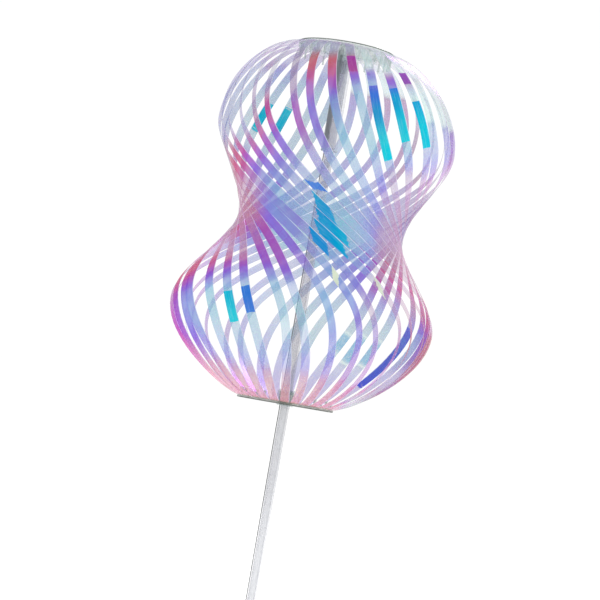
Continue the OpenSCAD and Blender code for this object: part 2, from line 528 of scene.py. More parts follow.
@dataclass(frozen=True)
class FilmFinish:
    """Thin see-through film whose colour shifts with the angle.

    Attributes:
        name: The material's name.
        layer_nm: Thickness of the interference layer.
        layer_index: Refractive index of that layer.
        index: Refractive index of the film.
        glare: Strength of its mirror reflections.
        dents: Strength of the fine cross lines.
        painted_glow: Painted glow in the film's own colour, for daylight let through from behind.
    """

    name: str = "Ribbon film"
    layer_nm: float = 420.0
    layer_index: float = 1.6
    index: float = 1.22
    glare: float = 0.25
    dents: float = 0.12
    painted_glow: float = 0.20

    def material(self, effect: Tree) -> Material:
        """Builds the material.

        Args:
            effect: The shared film group.

        Returns:
            The finished material.
        """
        made, sheet, skin = open_material(self.name)
        group = sheet.node("ShaderNodeGroup", node_tree=effect)
        for name in Film.CHANNELS:
            reader = sheet.node("ShaderNodeAttribute", attribute_name=name)
            sheet.feed(group.inputs[port_name(name)], reader.outputs["Fac"])
        strip = sheet.node("ShaderNodeUVMap", uv_map=Film.UV).outputs[0]
        place = sheet.node("ShaderNodeSeparateXYZ", {0: strip}).outputs
        sheet.wire(group, {"Across": place[0], "Along": place[1]})
        # The film glows in its own colour: painted light in place of the daylight it lets through.
        sheet.wire(skin, surface(sheet, group, self.dents) | {
            "Alpha": group.outputs["Alpha"], "Emission Color": group.outputs["Colour"],
            "Emission Strength": self.painted_glow, "IOR": self.index,
            "Thin Film Thickness": self.layer_nm, "Thin Film IOR": self.layer_index,
            "Specular IOR Level": self.glare,
        })
        return made


@dataclass(frozen=True)
class PlasticFinish:
    """Clear moulded or drawn plastic, denser where it is seen edge-on.

    Attributes:
        name: The material's name.
        tint: Its colour.
        haze: Its colour where the plastic is cloudy.
        body_alpha: How much each wall hides, seen square on.
        edge_alpha: How much more it hides, seen edge-on.
        gloss: Roughness of a clean surface.
        scuffs: How marked the surface is.
        clouds: How unevenly cloudy it is.
        left_shade_colour: Colour of the dark seam along the left side.
        left_shade_from: How far left of the axis the seam starts to show, in metres.
        left_shade_full: How far left it is at its darkest.
        index: Refractive index of the plastic.
        dents: Strength of the flow marks.
        rim_blend: How far the edge-on darkening reaches in.
    """

    name: str
    tint: Colour
    haze: Colour
    body_alpha: float = 0.2
    edge_alpha: float = 0.5
    gloss: float = 0.08
    scuffs: float = 0.3
    clouds: float = 1.0
    left_shade_colour: Colour = (0.2, 0.2, 0.2)
    left_shade_from: float = 1.0
    left_shade_full: float = 1.1
    index: float = 1.46
    dents: float = 0.08
    rim_blend: float = 0.35

    def material(self, effect: Tree) -> Material:
        """Builds the material.

        Args:
            effect: The shared plastic group.

        Returns:
            The finished material.
        """
        made, sheet, skin = open_material(self.name)
        given = ("tint", "haze", "body_alpha", "clouds", "scuffs", "gloss",
                 "left_shade_colour", "left_shade_from", "left_shade_full")
        fed = {port_name(name): getattr(self, name) for name in given}
        group = sheet.node("ShaderNodeGroup", node_tree=effect)
        sheet.wire(group, fed)
        facing = sheet.node("ShaderNodeLayerWeight", {"Blend": self.rim_blend})
        rim = sheet.times(facing.outputs["Facing"], self.edge_alpha)
        alpha = sheet.plus(group.outputs["Alpha"], rim, clamp=True)
        sheet.wire(skin, surface(sheet, group, self.dents) | {"Alpha": alpha, "IOR": self.index})
        return made


class Plastic(Enum):
    """The clear plastics: the stick's and its caps', the upper clamp's plates and sleeve, the
    bush and the hub that turns on it, the lower clamp's cover, the darker rims, the welds.
    """

    # The last three values paint shade down the stick's left side: its colour, where it starts and
    # where it is darkest.
    STICK = PlasticFinish(
        "Stick tube", linear(198, 200, 208), linear(208, 210, 218), 0.24, 0.18, 0.10, 0.02, 0.1,
        linear(60, 64, 60), 2.35 * MM, 2.60 * MM,
    )
    CAP = PlasticFinish(
        "Moulded caps", linear(158, 166, 166), linear(196, 204, 204), 0.55, 0.40, 0.22
    )
    DISC = PlasticFinish(
        "Upper clamp plates", linear(186, 204, 198), linear(222, 236, 230), 0.16, 0.34, 0.06, 0.1
    )
    # The last three values paint shade down the sleeve's left side: its colour, where it starts
    # and where it is darkest.
    SLEEVE = PlasticFinish(
        "Sleeve tube", linear(222, 224, 238), linear(230, 232, 242), 0.14, 0.16, 0.05, 0.02, 0.3,
        linear(106, 112, 112), 1.2 * MM, 1.9 * MM,
    )
    BUSH = PlasticFinish(
        "Bush and hub", linear(178, 198, 194), linear(196, 212, 208), 0.20, 0.16, 0.10, 0.02, 0.3
    )
    GREEN = PlasticFinish(
        "Lower clamp cover", linear(142, 146, 136), linear(166, 170, 160), 0.50, 0.20, 0.10, 0.1
    )
    RIM = PlasticFinish(
        "Clamp rims", linear(78, 90, 84), linear(112, 124, 118), 0.60, 0.35, 0.12, 0.1
    )
    GLUE = PlasticFinish(
        "Weld beads", linear(206, 214, 210), linear(232, 238, 236), 0.40, 0.30, 0.16
    )


@dataclass
class Finishes:
    """Every material of the pinwheel, built once: the ribbons' film and the plastics."""

    film: Material = field(init=False)
    plastics: dict[Plastic, Material] = field(init=False)

    def __post_init__(self) -> None:
        """Builds the two shared effects, then each material from them."""
        effect = plastic_group()
        self.film = FilmFinish().material(film_group())
        self.plastics = {plastic: plastic.value.material(effect) for plastic in Plastic}


# ---- pieces


SHARP_ANGLE = math.radians(42)
BEAD_STEPS = 12
FINE_STEPS = 160
# Thickness and height of the weld and of the sleeve's mouth, and where the mouth lies.
WELD, MOUTH = (0.9 * MM, 0.26 * MM), (0.35 * MM, 0.7 * MM)
MOUTH_IN, MOUTH_UP, RIM_UP = 0.1 * MM, 0.4 * MM, 0.05 * MM
Faces = list[tuple[int, ...]]
Outline = list[tuple[float, float]]


def place_mesh(name: str, points: np.ndarray, faces: Faces, material: Material) -> Piece:
    """Makes a smooth-shaded mesh object in the frame that all the parts share.

    Args:
        name: The piece's name.
        points: Its points, in metres.
        faces: Its faces, as tuples of point numbers.
        material: Its material.

    Returns:
        The new object.
    """
    mesh = bpy.data.meshes.new(name)
    mesh.from_pydata([tuple(p) for p in points], [], faces)
    mesh.materials.append(material)
    mesh.polygons.foreach_set("use_smooth", np.ones(len(mesh.polygons), bool))
    mesh.set_sharp_from_angle(angle=SHARP_ANGLE)
    mesh.update()
    made = bpy.data.objects.new(name, mesh)
    bpy.context.scene.collection.objects.link(made)
    return made


def quads(rings: int, around: int, joined: bool) -> Faces:
    """Joins rings of points, one after the other, with four-sided faces.

    Args:
        rings: How many rings there are.
        around: Points in each ring.
        joined: Whether the last ring joins the first.

    Returns:
        The faces, as tuples of point numbers.
    """
    made = []
    for ring in range(rings if joined else rings - 1):
        here, there = ring * around, (ring + 1) % rings * around
        for k in range(around):
            after = (k + 1) % around
            made.append((here + k, there + k, there + after, here + after))
    return made


def turned(
    name: str, outline: Outline, material: Material, body: str,
    around: int = 120,
) -> Piece:
    """Turns a closed outline about the stick's axis into a ring-shaped piece.

    Args:
        name: The piece's name.
        outline: Its section, as radius and height in metres.
        material: Its material.
        body: The body it rides on.
        around: Steps around the axis.

    Returns:
        The new object.
    """
    angles = np.linspace(0, 2 * math.pi, around, endpoint=False)
    points = np.array([(r * math.cos(a), r * math.sin(a), z) for a in angles for r, z in outline])
    faces = quads(around, len(outline), True)
    made = place_mesh(name, points, faces, material)
    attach(made, body)
    log.info("%s on %s: %d faces", name, body, len(faces))
    return made


def bead(radius: float, height: float, thick: float, tall: float) -> Outline:
    """Draws the oval section of a thin ring round that radius and height."""
    turns = [2 * math.pi * k / BEAD_STEPS for k in range(BEAD_STEPS)]
    return [(radius + thick / 2 * math.cos(t), height + tall / 2 * math.sin(t)) for t in turns]


def dress(finishes: Finishes, parts: dict[str, Plastic]) -> None:
    """Gives carried-over CAD parts their materials.

    Args:
        finishes: The pinwheel's materials.
        parts: The plastic of each part, by its node's name.
    """
    for node, plastic in parts.items():
        mesh = frame["nodes"][node].data
        mesh.materials.clear()
        mesh.materials.append(finishes.plastics[plastic])
        log.info("%s dressed in %s", node, plastic.value.name)


# ---- film cage


# Height over which the shingling fades out, and how high the lean peaks.
SHINGLE_SPAN, LEAN_POWER = 0.030, 1.6
# How squarely the film leaves the lower and the upper clamp; smaller is squarer.
FOOT_POWER, HEAD_POWER = 0.75, 0.51
# Degrees from ribbon to ribbon of their swell, and of their sway below and above the waist.
SWELL_PACE, SWAY_PACES = 99, (137.5, 222.5)


@dataclass(frozen=True)
class CageShape:
    """The surface that the ribbons lie on: two bellies with a twisted waist between.

    Heights are measured up from the lower clamp, in metres; angles are in degrees.

    Attributes:
        base: Height of the lower clamp's film above the foot.
        tall: Distance between the clamps.
        clamp_r: Radius of the clamps.
        lower_belly_r: Radius of the lower belly.
        upper_belly_r: Radius of the upper belly.
        waist_r: Radius of the waist.
        waist_share: Height of the waist, as a share of the cage.
        twist: Twist from clamp to clamp.
        twist_span: Stretch of the waist that takes most of the twist.
        lean: Sideways lean of the cage.
        shingle: Angle by which the ribbons lap over each other at the waist.
        bank: Angle by which the ribbons bank in the bellies, one way below the waist and
            the other above.
        sway: Unevenness of the ribbons' spacing in the bellies.
        swell: Unevenness of how far they stand out, as a share.
    """

    base: float
    tall: float
    clamp_r: float
    lower_belly_r: float = 0.0735
    upper_belly_r: float = 0.0665
    waist_r: float = 0.047
    waist_share: float = 0.505
    twist: float = 133.0
    twist_span: float = 0.025
    lean: float = 0.003
    shingle: float = 8.0
    bank: float = 22.0
    sway: float = 2.2
    swell: float = 0.012

    @classmethod
    def from_frame(cls) -> "CageShape":
        """Reads the clamps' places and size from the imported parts.

        Returns:
            The cage between the two clamps.
        """
        low = joint("lower_clamp_twist")["pos_m"][2]
        high = joint("cage_spin")["pos_m"][2]
        return cls(base=low, tall=high - low, clamp_r=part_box("lower_cover_disc")[1].x)

    @property
    def waist(self) -> float:
        """Height of the waist above the lower clamp."""
        return self.tall * self.waist_share

    def arcs(self, z: np.ndarray) -> tuple[np.ndarray, np.ndarray]:
        """Returns two arcs from 0 to 1 and back, over the lower and over the upper belly."""
        low, high = z / self.waist, (z - self.waist) / (self.tall - self.waist)
        return np.sin(np.pi * np.clip(low, 0, 1)), np.sin(np.pi * np.clip(high, 0, 1))

    def belly(self, z: np.ndarray) -> np.ndarray:
        """Returns how far each height is into a belly: 0 at clamps and waist, 1 between."""
        low, high = self.arcs(z)
        return low ** 2 + high ** 2

    def radius(self, z: np.ndarray, number: int) -> np.ndarray:
        """Distance of a ribbon from the cage's middle line.

        Args:
            z: Heights above the lower clamp.
            number: The ribbon's number.

        Returns:
            Radii in metres.
        """
        waist, tall = self.waist, self.tall
        low, high = waist / 2, (tall + waist) / 2
        fall = (1 + np.cos(np.pi * np.clip((z - low) / (waist - low), 0, 1))) / 2
        rise = (1 - np.cos(np.pi * np.clip((z - waist) / (high - waist), 0, 1))) / 2
        foot = np.sin(np.pi / 2 * np.clip(z / low, 0, 1)) ** FOOT_POWER
        head = np.sin(np.pi / 2 * np.clip((tall - z) / (tall - high), 0, 1)) ** HEAD_POWER
        plain = np.select(
            [z < low, z < waist, z < high],
            [
                self.clamp_r + (self.lower_belly_r - self.clamp_r) * foot,
                self.waist_r + (self.lower_belly_r - self.waist_r) * fall,
                self.waist_r + (self.upper_belly_r - self.waist_r) * rise,
            ],
            self.clamp_r + (self.upper_belly_r - self.clamp_r) * head,
        )
        uneven = self.swell * math.sin(math.radians(SWELL_PACE * number))
        return plain * (1 + uneven * self.belly(z))

    def turn(self, z: np.ndarray, number: int) -> np.ndarray:
        """Angle through which a ribbon has turned about the axis.

        Args:
            z: Heights above the lower clamp.
            number: The ribbon's number.

        Returns:
            Angles in degrees.
        """
        span, waist = self.twist_span, self.waist
        whole = math.atan(waist / span) + math.atan((self.tall - waist) / span)
        steady = self.twist / whole * np.arctan((waist - z) / span)
        pace = np.where(z < waist, *SWAY_PACES)
        return steady + self.sway * np.sin(np.radians(pace * number)) * self.belly(z)

    def lap(self, z: np.ndarray) -> np.ndarray:
        """Angle by which the film is tipped about its own length.

        Args:
            z: Heights above the lower clamp.

        Returns:
            Angles in degrees.
        """
        low, high = self.arcs(z)
        near = np.exp(-(((z - self.waist) / SHINGLE_SPAN) ** 2))
        return self.shingle * near + self.bank * (low - high)

    def shift(self, z: np.ndarray) -> np.ndarray:
        """Sideways place of the cage's middle line at each height."""
        return self.lean * np.sin(np.pi * np.clip(z / self.tall, 0, 1) ** LEAN_POWER)


class Half(Enum):
    """The two pieces of a ribbon, parted at the waist."""

    UPPER = "upper"
    LOWER = "lower"


@dataclass(frozen=True)
class Flash:
    """A stretch of some ribbons that catches the light in one strong colour.

    Attributes:
        strips: Numbers of the ribbons.
        low: Its lower end above the lower clamp, in metres.
        high: Its upper end.
        hue: Place of its lower end in the flash colours.
        top_hue: Place of its upper end; the same as hue where this is None.
        slant: How much higher it lies at one edge of the ribbon than at the other.
        fade: Length over which its ends break up into bars.
        force: How fully it covers the film.
    """

    strips: tuple[int, ...]
    low: float
    high: float
    hue: float = 0.0
    top_hue: float | None = None
    slant: float = 0.0
    fade: float = 0.8 * MM
    force: float = 1.0


# Half the depth over which the front of the cage passes into its back.
HALF_WAY = 6 * MM


class Pale(Enum):
    """The washed-out colours, by their places in the pale stops."""

    SKY = 0.0
    MINT = 0.2
    ICE = 0.4
    LAVENDER = 0.6
    PINK_GREY = 0.8
    ROSE = 1.0


class Face(Enum):
    """Which side of the cage a stretch of film is on."""

    FRONT = "front"
    BACK = "back"
    BOTH = "both"


@dataclass(frozen=True)
class PaleZone:
    """A part of the cage where the film looks washed out: a box with soft edges, in metres.

    Attributes:
        face: The side of the cage that it is on.
        hue: Its colour.
        left: Its left side.
        right: Its right side.
        low: Its lower edge above the lower clamp.
        high: Its upper edge.
        share: How much of the film's own colour it takes away.
        clear: How much clearer it makes the film.
        soft: Width over which it fades out, outside its edges.
    """

    face: Face
    hue: Pale
    left: float
    right: float
    low: float
    high: float
    share: float = 0.7
    clear: float = 0.2
    soft: float = 0.014

    def reach(self, x: np.ndarray, y: np.ndarray, z: np.ndarray) -> np.ndarray:
        """Works out how far each point is inside the zone.

        Args:
            x: Sideways places.
            y: Places from front to back.
            z: Heights above the lower clamp.

        Returns:
            Numbers from 0, outside, to 1, fully inside.
        """
        over = np.ones_like(z)
        for values, start, end in ((x, self.left, self.right), (z, self.low, self.high)):
            over = over * smooth(values, start - self.soft, start)
            over = over * smooth(values, end + self.soft, end)
        if self.face is Face.FRONT:
            over = over * smooth(y, HALF_WAY, -HALF_WAY)
        elif self.face is Face.BACK:
            over = over * smooth(y, -HALF_WAY, HALF_WAY)
        return over


# Past any side of the cage, and above its top.
FAR, TOP = 0.2, 0.4
# Ribbons that are crinkled in the lower belly.
CRINKLED = (30, 31, 32, 1, 2, 12, 13)
CRINKLE_START, CRINKLE_END = (0.014, 0.024), (0.060, 0.048)
# Waves in the film: height, length, and how far each ribbon's is out of step with the last.
EVEN_WAVE, SLOW_WAVE = (0.020 * MM, 0.0034, 1.7), (0.10 * MM, 0.011, 2.3)
CRINKLE = (0.075 * MM, 0.00062, 0)
# Small steps of tone from ribbon to ribbon: how much, and their pace.
OWN_TONES = ((0.035, 2.4), (0.02, 5.3))
# Step of the noise from ribbon to ribbon.
SEED_STEP = 0.37
# How high the film is crowned across its width.
CROWN = 0.10 * MM
# Clamped end, and the short step for a direction, as shares of the free film.
TAB_SHARE, DIRECTION_STEP = 0.02, 0.0016
# Where the tone is lower than the film's facing gives, sideways and in height, and by how much.
LEFT_X, LEFT_Z, LEFT_DROP = (0.012, -0.004), (0.060, 0.078), 0.12
CENTRE_X, CENTRE_Z, CENTRE_DROP = (-0.030, -0.012), (0.086, 0.098), 0.08
RIGHT_X, UPPER_Z, RIGHT_BACK_DROP = (-0.010, 0.014), (0.080, 0.100), 0.18
NEAR_TOP_Z, NEAR_TOP_DROP = (0.160, 0.196), 0.28
# Least tone of the lower belly's sides, and how much more it is low down on the left.
SIDE_X, SIDE_TONE = (0.030, 0.050), 0.34
LOW_LEFT_X, LOW_LEFT_Z, LOW_LEFT_MORE = (0.0, -0.040), (0.060, 0.044), 0.18
# How far past its ends a flash still sets its hue, in lengths of its fade.
FLASH_REACH = 4


@dataclass
class Film:
    """One film ribbon as a thin, finely stepped strip in two halves.

    Attributes:
        number: The ribbon's number.
        count: How many ribbons share the cage.
        shape: The cage's shape.
        flashes: The bright stretches of the whole cage.
        zones: The pale parts of the cage.
        width: Width of the film.
        thick: Thickness of the film.
        tab: Length of the clamped end.
        gap: Space between neighbouring ends.
        columns: Points across the film.
        rings: Steps along each half.
        tab_rings: Steps along the clamped end.
    """

    UV = "strip"
    CHANNELS = ("tone", "flash", "flash_hue", "pale", "pale_hue", "clear", "seed")

    number: int
    count: int
    shape: CageShape
    flashes: tuple[Flash, ...]
    zones: tuple[PaleZone, ...]
    width: float = 5.0 * MM
    thick: float = 0.14 * MM
    tab: float = 7.5 * MM
    gap: float = 0.4 * MM
    columns: int = 6
    rings: int = 96
    tab_rings: int = 4

    @property
    def node(self) -> str:
        """Name of the CAD part that the ribbon stands for."""
        return f"ribbon_{self.number:02d}"

    def centres(self, steps: np.ndarray) -> np.ndarray:
        """Finds points of the ribbon's middle line.

        Args:
            steps: Places along it: 0 to 1 is the free film, and the clamped ends lie outside.

        Returns:
            Points above the lower clamp, one row for each step.
        """
        shape = self.shape
        free = np.clip(steps, 0, 1)
        z = shape.tall * (1 - np.cos(np.pi * free)) / 2
        past = np.maximum(-steps, steps - 1).clip(0)
        r = shape.radius(z, self.number) - past * self.tab / TAB_SHARE
        g = np.radians((self.number - 1) * 360 / self.count + shape.turn(z, self.number))
        return np.stack((r * np.cos(g) + shape.shift(z), r * np.sin(g), z), 1)

    def frames(self, steps: np.ndarray) -> tuple[np.ndarray, np.ndarray, np.ndarray, np.ndarray]:
        """Finds the film's directions at each step.

        Args:
            steps: Places along the ribbon.

        Returns:
            The middle points, the directions along, across and out of the film.
        """
        shape = self.shape
        middle = self.centres(steps)
        ahead, behind = steps + DIRECTION_STEP, steps - DIRECTION_STEP
        along = unit(self.centres(ahead) - self.centres(behind))
        z = middle[:, 2]
        low, high = shape.waist / 2, (shape.tall + shape.waist) / 2
        heart = np.stack((shape.shift(z), 0 * z, np.clip(z, low, high)), 1)
        out = middle - heart
        out = unit(out - along * (out * along).sum(1, keepdims=True))
        side = np.cross(along, out)
        lap = np.radians(shape.lap(z))[:, None]
        tilted = out * np.cos(lap) + side * np.sin(lap)
        return middle, along, np.cross(along, tilted), tilted

    def ripple(self, way: np.ndarray, z: np.ndarray) -> np.ndarray:
        """Small waves across the film, as it is left by handling.

        Args:
            way: Distance along the film, in metres.
            z: Height above the lower clamp.

        Returns:
            How far the film stands off its even surface, in metres.
        """
        even, slow, crinkle = (
            high * np.sin(way / length + step * self.number)
            for high, length, step in (EVEN_WAVE, SLOW_WAVE, CRINKLE)
        )
        crinkle = crinkle * (smooth(z, *CRINKLE_START) * smooth(z, *CRINKLE_END))
        waves = even + slow + (crinkle if self.number in CRINKLED else 0)
        return waves * np.sqrt(self.shape.belly(z).clip(0))

    def tones(self, out: np.ndarray, middle: np.ndarray) -> dict[str, np.ndarray]:
        """Works out the film's colour channels from how it faces and where it is.

        Args:
            out: Direction out of the film at each step.
            middle: The middle points, above the lower clamp.

        Returns:
            One value for each step, by channel name.
        """
        x, y, z = middle.T
        front = smooth(y, HALF_WAY, -HALF_WAY)
        upper = smooth(z, *UPPER_Z)
        centre_top = smooth(z, *CENTRE_Z) * smooth(x, *CENTRE_X)
        left_front = front * smooth(x, *LEFT_X) * smooth(z, *LEFT_Z)
        right_back = (1 - front) * smooth(x, *RIGHT_X) * upper
        drop = (LEFT_DROP + CENTRE_DROP * centre_top) * left_front
        drop = drop + RIGHT_BACK_DROP * right_back
        drop = drop + NEAR_TOP_DROP * (front * smooth(z, *NEAR_TOP_Z))
        own = sum(much * math.sin(pace * self.number) for much, pace in OWN_TONES)
        tone = np.abs(out @ FRONT) + own - drop
        least = SIDE_TONE + LOW_LEFT_MORE * smooth(x, *LOW_LEFT_X) * smooth(z, *LOW_LEFT_Z)
        tone = np.maximum(tone, least * (1 - upper) * smooth(np.abs(x), *SIDE_X))
        pale, clear = np.zeros_like(z), np.zeros_like(z)
        hues, weights = np.zeros_like(z), np.full_like(z, TINY)
        for zone in self.zones:
            reach = zone.reach(x, y, z)
            pale = np.maximum(pale, reach * zone.share)
            clear = np.maximum(clear, reach * zone.clear)
            weight = (reach * zone.share) ** 4
            hues, weights = hues + weight * zone.hue.value, weights + weight
        hue = hues / weights
        seed = np.full_like(z, SEED_STEP * self.number)
        return {"tone": tone, "pale": pale, "pale_hue": hue, "clear": clear, "seed": seed}

    def glints(self, z: np.ndarray, across: np.ndarray) -> dict[str, np.ndarray]:
        """Works out where the film flashes, and in which colour.

        Args:
            z: Height of each step above the lower clamp.
            across: Place across the film of each point of a step, from 0 to 1.

        Returns:
            One value for each step and point, by channel name.
        """
        height = z[:, None] + 0 * across[None]
        flash, hue = -np.ones_like(height), np.zeros_like(height)
        for spot in self.flashes:
            if self.number not in spot.strips:
                continue
            level = height - spot.slant * (across[None] - 0.5)
            inside = np.minimum(level - spot.low, spot.high - level) / spot.fade
            top_hue = spot.hue if spot.top_hue is None else spot.top_hue
            way_up = np.clip((level - spot.low) / (spot.high - spot.low), 0, 1)
            near = inside > -FLASH_REACH
            hue = np.where(near, spot.hue + (top_hue - spot.hue) * way_up ** 2, hue)
            flash = np.where(near, np.clip(inside, -1, spot.force), flash)
        return {"flash": flash, "flash_hue": hue}

    def build(self, half: Half, material: Material) -> Piece:
        """Builds one half of the ribbon.

        Args:
            half: Which half.
            material: The film's material.

        Returns:
            The new piece.
        """
        parted = math.acos(1 - 2 * self.shape.waist_share) / math.pi
        tab = TAB_SHARE * np.linspace(0, 1, self.tab_rings + 1)
        if half is Half.UPPER:
            steps = np.concatenate((np.linspace(parted, 1, self.rings), 1 + tab[1:]))
        else:
            steps = np.concatenate((-tab[:0:-1], np.linspace(0, parted, self.rings)))
        middle, along, side, out = self.frames(steps)
        z = middle[:, 2]
        way = np.concatenate(([0], np.cumsum(np.linalg.norm(np.diff(middle, axis=0), axis=1))))
        reach = np.hypot(middle[:, 0] - self.shape.shift(z), middle[:, 1])
        wide = np.minimum(self.width, 2 * np.pi * reach / self.count - self.gap)
        wave = self.ripple(way, z)
        facing = unit(out - along * np.gradient(wave, way)[:, None])
        share = np.linspace(-0.5, 0.5, self.columns)
        crown = CROWN * (1 - (2 * share) ** 2) * self.shape.belly(z)[:, None]
        sheet = (
            middle[:, None]
            + side[:, None] * (share[None, :, None] * wide[:, None, None])
            + out[:, None] * (wave[:, None] + crown)[..., None]
        )
        skin = out[:, None] * self.thick / 2
        loop = np.concatenate((sheet + skin, (sheet - skin)[:, ::-1]), 1)
        points = loop.reshape(-1, 3) + np.array((0, 0, self.shape.base))
        around = 2 * self.columns
        faces = [(quad[0], *quad[:0:-1]) for quad in quads(len(steps), around, False)]
        first = tuple(range(around))
        last = tuple(range(len(points) - 1, len(points) - 1 - around, -1))
        faces.append(first[::-1] if half is Half.LOWER else last[::-1])
        made = place_mesh(f"{self.node}_{half.value}", points, faces, material)
        across = np.concatenate((share, share[::-1])) + 0.5
        self.mark(made.data, self.tones(facing, middle) | self.glints(z, across), way, across)
        self.hang(made, half)
        return made

    def mark(
        self, mesh: bpy.types.Mesh, channels: dict[str, np.ndarray], way: np.ndarray,
        across: np.ndarray,
    ) -> None:
        """Writes the film's channels and strip coordinates onto its mesh.

        Args:
            mesh: The strip's mesh.
            channels: Values for each step, or for each step and point, by channel name.
            way: Distance along the film at each step.
            across: Place across the film at each point of a step.
        """
        around = len(across)
        for name, values in channels.items():
            if values.ndim == 1:
                values = np.repeat(values, around)
            made = mesh.attributes.new(name, "FLOAT", "POINT")
            made.data.foreach_set("value", values.ravel().astype(np.float32))
        corners = np.zeros(len(mesh.loops), np.int32)
        mesh.loops.foreach_get("vertex_index", corners)
        pairs = np.stack((np.tile(across, len(way)), np.repeat(way, around)), 1)
        layer = mesh.uv_layers.new(name=self.UV)
        layer.data.foreach_set("uv", pairs[corners].astype(np.float32).ravel())

    def hang(self, piece: Piece, half: Half) -> None:
        """Bakes the strip's place into its mesh and hides the CAD ribbon it stands for.

        Args:
            piece: The strip.
            half: Which half it is.
        """
        if half is Half.UPPER:
            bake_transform(piece)
        else:
            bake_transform(piece)
        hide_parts(self.node)


@dataclass
class FilmCage:
    """All the ribbons between the two clamps, with the flashes and pale zones they share."""

    shape: CageShape
    flashes: tuple[Flash, ...] = (
        Flash((32,), 0.139, 0.177, 0.0, 0.55),
        Flash((1,), 0.150, 0.178, 0.0, 0.35),
        Flash((2,), 0.150, 0.174, 0.0, 0.2),
        Flash((2,), 0.183, 0.189, 0.72),
        Flash((31,), 0.183, 0.192, 0.8),
        Flash((17, 18), 0.154, 0.172, 0.06, fade=4 * MM),
        Flash((23,), 0.085, 0.093, 0.26, slant=5 * MM),
        Flash((24,), 0.086, 0.098, 0.16, 0.22, slant=5 * MM),
        Flash((25,), 0.092, 0.104, 0.18, slant=4 * MM),
        Flash((26,), 0.104, 0.112, 0.20, slant=5 * MM),
        Flash((27,), 0.1165, 0.1205, 0.45, slant=-4 * MM),
        Flash((17,), 0.038, 0.054, 0.0, 0.1),
        Flash((18,), 0.044, 0.058, 0.35),
        Flash((31,), 0.016, 0.054, 0.50, 0.60, fade=5 * MM, force=0.8),
        Flash((22,), 0.069, 0.073, 1.0, slant=5 * MM),
        Flash((24,), 0.068, 0.072, 1.0, slant=6 * MM),
    )
    zones: tuple[PaleZone, ...] = (
        # waist and lower belly, on the right
        PaleZone(Face.FRONT, Pale.PINK_GREY, 0.040, FAR, 0.078, 0.130, 0.90, 0.25),
        PaleZone(Face.FRONT, Pale.PINK_GREY, 0.040, FAR, 0.056, 0.078, 0.85, 0.40),
        PaleZone(Face.FRONT, Pale.LAVENDER, 0.024, 0.040, 0.078, 0.126, 0.45, 0.10),
        PaleZone(Face.BACK, Pale.LAVENDER, 0.024, FAR, 0.104, 0.134, 0.70, 0.20),
        # waist, on the left and in the middle
        PaleZone(Face.FRONT, Pale.PINK_GREY, -FAR, -0.040, 0.082, 0.112, 0.80, 0.15),
        PaleZone(Face.FRONT, Pale.LAVENDER, -0.012, 0.030, 0.112, 0.134, 0.45, 0.12),
        # upper belly
        PaleZone(Face.FRONT, Pale.LAVENDER, 0.050, FAR, 0.120, 0.160, 0.70, 0.20),
        PaleZone(Face.FRONT, Pale.MINT, 0.044, FAR, 0.170, TOP, 0.90, 0.05),
        PaleZone(Face.BOTH, Pale.MINT, 0.008, FAR, 0.190, TOP, 0.95, 0.05, 0.008),
        PaleZone(Face.BOTH, Pale.ICE, -FAR, -0.050, 0.146, TOP, 0.90, 0.20),
        PaleZone(Face.FRONT, Pale.ICE, -FAR, -0.030, 0.170, TOP, 0.75, 0.20),
        PaleZone(Face.BACK, Pale.ICE, -FAR, -0.006, 0.136, TOP, 0.50, 0.05),
        PaleZone(Face.BACK, Pale.LAVENDER, 0.004, FAR, 0.136, 0.186, 0.45, 0.20),
        PaleZone(Face.FRONT, Pale.MINT, -0.048, -0.030, 0.174, 0.188, 0.80, 0.0, 0.007),
        # in front of the stick, where the film is clearest
        PaleZone(Face.FRONT, Pale.ICE, -0.006, 0.005, 0.012, 0.118, 0.0, 0.42, 0.005),
        PaleZone(Face.BOTH, Pale.ICE, -FAR, 0.002, 0.196, TOP, 0.70, 0.25, 0.008),
        # lower belly, down to the clamp
        PaleZone(Face.BACK, Pale.LAVENDER, -FAR, -0.010, 0.016, 0.080, 0.70, 0.25),
        PaleZone(Face.BACK, Pale.SKY, 0.026, 0.046, 0.030, 0.044, 0.80, 0.05, 0.006),
        PaleZone(Face.BACK, Pale.ICE, 0.000, 0.060, 0.020, 0.064, 0.45, 0.15),
        PaleZone(Face.FRONT, Pale.ROSE, 0.066, FAR, 0.016, 0.048, 0.60, 0.15, 0.010),
        PaleZone(Face.BACK, Pale.LAVENDER, -0.010, FAR, -FAR, 0.024, 0.70, 0.30),
        PaleZone(Face.FRONT, Pale.LAVENDER, -0.044, 0.030, 0.020, 0.032, 0.55, 0.15, 0.012),
        PaleZone(Face.FRONT, Pale.LAVENDER, 0.036, 0.056, 0.018, 0.050, 0.65, 0.20, 0.010),
        PaleZone(Face.FRONT, Pale.ROSE, -FAR, 0.022, -FAR, 0.004, 0.95, 0.06, 0.026),
        PaleZone(Face.BOTH, Pale.MINT, 0.036, FAR, -FAR, 0.006, 0.85, 0.05, 0.012),
    )

    def build(self, finishes: Finishes) -> None:
        """Builds every ribbon.

        Args:
            finishes: The pinwheel's materials.
        """
        count = sum(name.startswith("ribbon_") for name in frame["nodes"])
        for number in range(1, count + 1):
            film = Film(number, count, self.shape, self.flashes, self.zones)
            for half in Half:
                made = film.build(half, finishes.film)
                log.info("%s: %d faces", made.name, len(made.data.polygons))


# ---- hard parts


